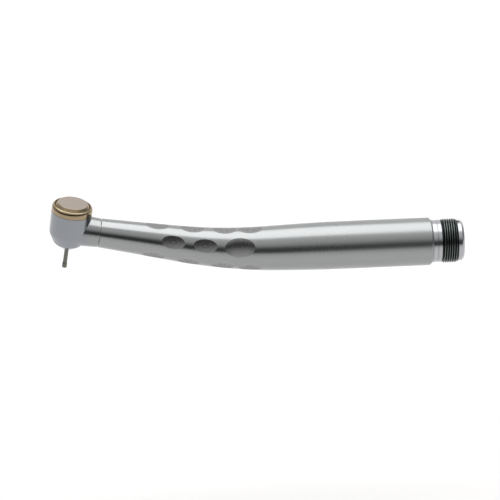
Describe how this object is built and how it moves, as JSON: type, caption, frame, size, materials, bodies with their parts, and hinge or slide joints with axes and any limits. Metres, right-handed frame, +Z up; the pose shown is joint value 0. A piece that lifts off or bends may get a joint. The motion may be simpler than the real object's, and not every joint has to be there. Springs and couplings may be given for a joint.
{
  "type": "dental high speed handpiece",
  "caption": "Slim dental air-turbine handpiece with a bent dimpled handle, push-button head, small bur and threaded hose coupling.",
  "frame": {"origin": "centre of the hose socket's mouth, in the plane of the rear rim", "axes": "+X along the rear handle out of the hose coupling, away from the head; +Z up, the push button's side; +Y completes the right-handed frame, and the part is a mirror image across Y = 0"},
  "size_m": [0.1137, 0.0132, 0.0235],
  "materials": {
    "satin_steel": "satin chrome plate, fine grained",
    "bright_chrome": "bright turned chrome",
    "plain_steel": "ground stainless steel",
    "gold_coating": "polished hard gold-coloured coating on steel",
    "rose_button": "matte rose-taupe coating",
    "spring_wire": "drawn spring wire",
    "wheel_alloy": "machined light alloy",
    "cage_polymer": "machined polymer cage with hard balls",
    "seal_rubber": "smooth black rubber",
    "bur_steel": "ground bur steel",
    "thread_steel": "cut thread, darker in its grooves",
    "core_brass": "plated brass"
  },
  "bodies": {
    "body": {"head_housing": "satin_steel", "handle_shell": "satin_steel", "cap_base": "plain_steel", "cap_ring": "gold_coating", "button_spring": "spring_wire", "upper_outer_ring": "plain_steel", "upper_o_ring": "seal_rubber", "lower_outer_ring": "plain_steel", "lower_o_ring": "seal_rubber", "preload_washer": "spring_wire", "dust_shield": "plain_steel", "drive_air_tube": "plain_steel", "water_tube": "plain_steel", "coupling_ring": "thread_steel", "rear_collar": "bright_chrome", "connector_core": "core_brass"},
    "button": {"push_button": "rose_button"},
    "rotor": {"spindle": "plain_steel", "turbine_wheel": "wheel_alloy", "upper_inner_ring": "plain_steel", "lower_inner_ring": "plain_steel", "chuck_collet": "plain_steel", "chuck_spring": "spring_wire"},
    "pusher": {"chuck_pusher": "plain_steel"},
    "bur_body": {"bur": "bur_steel"},
    "upper_cage": {"upper_ball_cage": "cage_polymer"},
    "lower_cage": {"lower_ball_cage": "cage_polymer"}
  },
  "joints": [
    {"name": "button_press", "type": "slide", "parent": "body", "child": "button", "axis": [-0.1668, 0, -0.986], "range_m": [0, 0.0006], "stiffness_N_per_m": 3000, "springref_m": -0.0005, "deforming": ["button_spring"]},
    {"name": "rotor_spin", "type": "hinge", "parent": "body", "child": "rotor", "pos_m": [-0.10822, 0, 0.00851], "axis": [0.1668, 0, 0.986], "continuous": true},
    {"name": "upper_cage_spin", "type": "hinge", "parent": "body", "child": "upper_cage", "pos_m": [-0.1076, 0, 0.0122], "axis": [0.1668, 0, 0.986], "continuous": true},
    {"name": "lower_cage_spin", "type": "hinge", "parent": "body", "child": "lower_cage", "pos_m": [-0.10859, 0, 0.00635], "axis": [0.1668, 0, 0.986], "continuous": true},
    {"name": "chuck_release", "type": "slide", "parent": "rotor", "child": "pusher", "axis": [-0.1668, 0, -0.986], "range_m": [0, 0.00037], "deforming": ["chuck_spring"]},
    {"name": "bur_pull", "type": "slide", "parent": "rotor", "child": "bur_body", "axis": [-0.1668, 0, -0.986], "range_m": [0, 0.0075]}
  ],
  "couplings": [
    {"joint": "chuck_release", "follows": "button_press", "ratio": 0.6},
    {"joint": "upper_cage_spin", "follows": "rotor_spin", "ratio": 0.395},
    {"joint": "lower_cage_spin", "follows": "rotor_spin", "ratio": 0.395}
  ]
}
